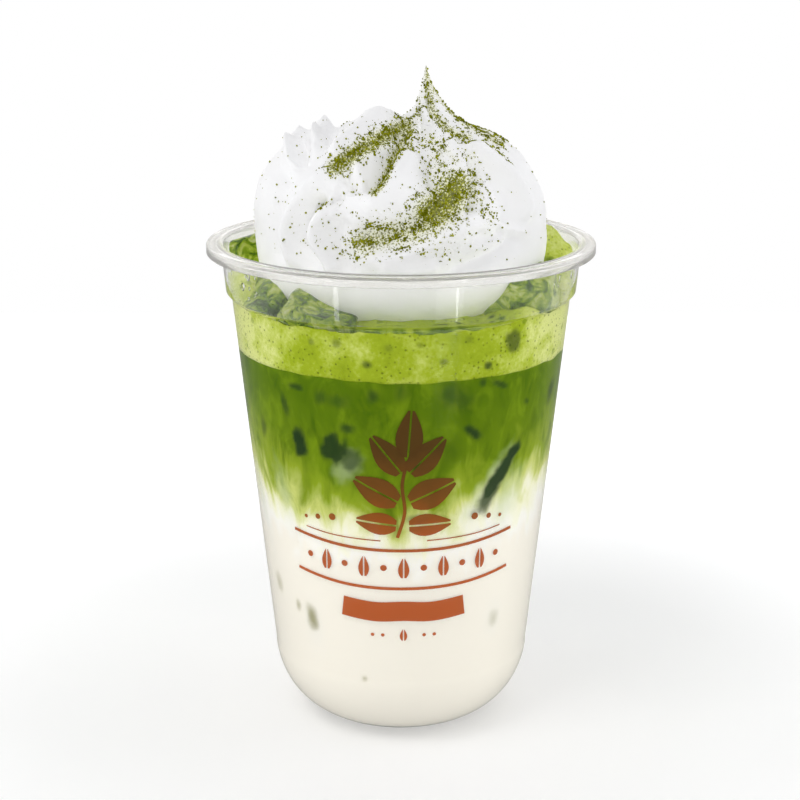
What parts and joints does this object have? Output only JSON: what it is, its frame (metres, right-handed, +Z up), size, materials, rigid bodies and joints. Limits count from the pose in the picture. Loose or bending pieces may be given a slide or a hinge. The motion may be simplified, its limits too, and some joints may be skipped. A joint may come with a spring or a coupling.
{
  "type": "iced matcha latte",
  "caption": "Layered iced matcha latte in a clear round-bottomed cup: milk below, green matcha and foam above, ice at the wall and a peaked dome of whipped cream.",
  "frame": {"origin": "middle of the cup's foot, on the surface it stands on", "axes": "+Z up along the cup's axis, -Y towards the front, +X to the right seen from the front"},
  "size_m": [0.095, 0.095, 0.1638],
  "materials": {
    "cup": "clear moulded plastic",
    "milk": "creamy liquid",
    "matcha": "deep green liquid",
    "foam": "fine wet foam",
    "cream": "soft whipped cream",
    "ice": "wet clear ice",
    "powder": "dry powder",
    "print": "printed ink"
  },
  "bodies": {
    "root": {"cup": "cup", "milk": "milk", "matcha": "matcha", "foam": "foam", "whipped_cream": "cream", "ice_left_back": "ice", "ice_left": "ice", "ice_front_left": "ice", "ice_front_right": "ice", "ice_right": "ice", "ice_back": "ice"}
  },
  "joints": []
}
